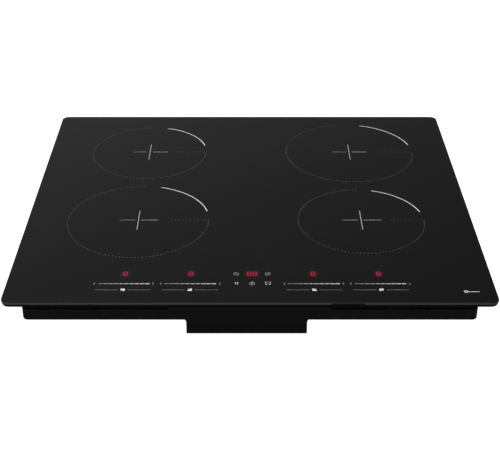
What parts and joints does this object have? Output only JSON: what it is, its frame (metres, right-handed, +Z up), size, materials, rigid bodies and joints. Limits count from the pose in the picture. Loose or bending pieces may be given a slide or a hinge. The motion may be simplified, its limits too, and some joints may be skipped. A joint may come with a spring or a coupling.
{
  "type": "electric induction cooktop",
  "caption": "Built-in black glass induction cooktop: flat rectangular glass over a shallow steel tray, with sprung coils, blowers below and a hinged terminal cover.",
  "frame": {"origin": "centre of the worktop cut-out and of the glass, at the worktop surface that the seal rests on", "axes": "+X to the right, +Y to the back, +Z up; the controls are at -Y"},
  "size_m": [0.59, 0.52, 0.0548],
  "materials": {
    "glass_black": "black glass-ceramic, polished with a faint satin grain",
    "seal_foam": "black closed-cell foam",
    "silicone": "black silicone",
    "case_paint": "matt black powder coat on sheet steel",
    "sump_plastic": "matt black moulded plastic",
    "screw_steel": "zinc plated",
    "shelf_aluminium": "mill finish sheet",
    "mica": "pressed mica sheet",
    "board_green": "solder-masked circuit board",
    "sink_aluminium": "extruded",
    "carrier_plastic": "glass-filled heat-resistant plastic",
    "copper_wire": "enamelled copper litz, wound flat",
    "ferrite": "sintered ferrite, matt grey",
    "sensor_white": "white ceramic cap",
    "spring_steel": "spring wire",
    "fan_black": "moulded",
    "motor_steel": "laminated stator",
    "choke_green": "coated ring core",
    "holder_plastic": "moulded",
    "display_black": "smoked display window",
    "terminal_plastic": "moulded, flame retardant",
    "block_plastic": "moulded",
    "gland_rubber": "moulded grommet",
    "clip_steel": "spring steel strip"
  },
  "bodies": {
    "casing": {"glass_plate": "glass_black", "seal_tape": "seal_foam", "adhesive_bead": "silicone", "upper_frame": "case_paint", "bottom_tray": "case_paint", "fan_sump": "sump_plastic", "tray_screw_front_left": "screw_steel", "tray_screw_front_right": "screw_steel", "tray_screw_rear_left": "screw_steel", "tray_screw_rear_right": "screw_steel", "coil_shelf_left": "shelf_aluminium", "mica_sheet_left": "mica", "power_board_left": "board_green", "heat_sink_left": "sink_aluminium", "coil_shelf_right": "shelf_aluminium", "mica_sheet_right": "mica", "power_board_right": "board_green", "heat_sink_right": "sink_aluminium", "coil_spring_front_left": "spring_steel", "coil_spring_front_right": "spring_steel", "coil_spring_rear_left": "spring_steel", "coil_spring_rear_right": "spring_steel", "fan_housing_front": "fan_black", "fan_motor_front": "motor_steel", "fan_housing_rear": "fan_black", "fan_motor_rear": "motor_steel", "filter_board": "board_green", "filter_choke": "choke_green", "control_holder": "holder_plastic", "control_board": "board_green", "display_module_left": "display_black", "display_module_centre": "display_black", "display_module_right": "display_black", "terminal_box": "terminal_plastic", "terminal_block": "block_plastic", "cable_gland": "gland_rubber"},
    "coil_set_front_left": {"coil_carrier_front_left": "carrier_plastic", "coil_winding_front_left": "copper_wire", "ferrite_star_front_left": "ferrite", "temperature_sensor_front_left": "sensor_white"},
    "clip_front_left": {"mounting_clip_front_left": "clip_steel"},
    "coil_set_front_right": {"coil_carrier_front_right": "carrier_plastic", "coil_winding_front_right": "copper_wire", "ferrite_star_front_right": "ferrite", "temperature_sensor_front_right": "sensor_white"},
    "clip_front_right": {"mounting_clip_front_right": "clip_steel"},
    "coil_set_rear_left": {"coil_carrier_rear_left": "carrier_plastic", "coil_winding_rear_left": "copper_wire", "ferrite_star_rear_left": "ferrite", "temperature_sensor_rear_left": "sensor_white"},
    "clip_rear_left": {"mounting_clip_rear_left": "clip_steel"},
    "coil_set_rear_right": {"coil_carrier_rear_right": "carrier_plastic", "coil_winding_rear_right": "copper_wire", "ferrite_star_rear_right": "ferrite", "temperature_sensor_rear_right": "sensor_white"},
    "clip_rear_right": {"mounting_clip_rear_right": "clip_steel"},
    "impeller_front": {"fan_impeller_front": "fan_black"},
    "impeller_rear": {"fan_impeller_rear": "fan_black"},
    "cover": {"terminal_cover": "terminal_plastic"}
  },
  "joints": [
    {"name": "coil_slide_front_left", "type": "slide", "parent": "casing", "child": "coil_set_front_left", "axis": [0, 0, 1], "range_m": [-0.003, 0], "stiffness_N_per_m": 2500, "springref_m": 0.008, "deforming": ["coil_spring_front_left"]},
    {"name": "coil_slide_front_right", "type": "slide", "parent": "casing", "child": "coil_set_front_right", "axis": [0, 0, 1], "range_m": [-0.003, 0], "stiffness_N_per_m": 2500, "springref_m": 0.008, "deforming": ["coil_spring_front_right"]},
    {"name": "coil_slide_rear_left", "type": "slide", "parent": "casing", "child": "coil_set_rear_left", "axis": [0, 0, 1], "range_m": [-0.003, 0], "stiffness_N_per_m": 2500, "springref_m": 0.008, "deforming": ["coil_spring_rear_left"]},
    {"name": "coil_slide_rear_right", "type": "slide", "parent": "casing", "child": "coil_set_rear_right", "axis": [0, 0, 1], "range_m": [-0.003, 0], "stiffness_N_per_m": 2500, "springref_m": 0.008, "deforming": ["coil_spring_rear_right"]},
    {"name": "impeller_spin_front", "type": "hinge", "parent": "casing", "child": "impeller_front", "pos_m": [-0.004, -0.1867, -0.025], "axis": [0, 0, 1], "continuous": true},
    {"name": "impeller_spin_rear", "type": "hinge", "parent": "casing", "child": "impeller_rear", "pos_m": [-0.004, -0.0822, -0.025], "axis": [0, 0, 1], "continuous": true},
    {"name": "clip_flex_front_left", "type": "hinge", "parent": "casing", "child": "clip_front_left", "pos_m": [-0.2741, -0.12, -0.0126], "axis": [0, 1, 0], "range_deg": [-10, 0], "stiffness_Nm_per_rad": 1.4, "springref_deg": 2.86},
    {"name": "clip_flex_front_right", "type": "hinge", "parent": "casing", "child": "clip_front_right", "pos_m": [0.2741, -0.12, -0.0126], "axis": [0, 1, 0], "range_deg": [0, 10], "stiffness_Nm_per_rad": 1.4, "springref_deg": -2.86},
    {"name": "clip_flex_rear_left", "type": "hinge", "parent": "casing", "child": "clip_rear_left", "pos_m": [-0.2741, 0.12, -0.0126], "axis": [0, 1, 0], "range_deg": [-10, 0], "stiffness_Nm_per_rad": 1.4, "springref_deg": 2.86},
    {"name": "clip_flex_rear_right", "type": "hinge", "parent": "casing", "child": "clip_rear_right", "pos_m": [0.2741, 0.12, -0.0126], "axis": [0, 1, 0], "range_deg": [0, 10], "stiffness_Nm_per_rad": 1.4, "springref_deg": -2.86},
    {"name": "cover_hinge", "type": "hinge", "parent": "casing", "child": "cover", "pos_m": [0.212, 0.1724, -0.0466], "axis": [1, 0, 0], "range_deg": [-100, 0]}
  ]
}
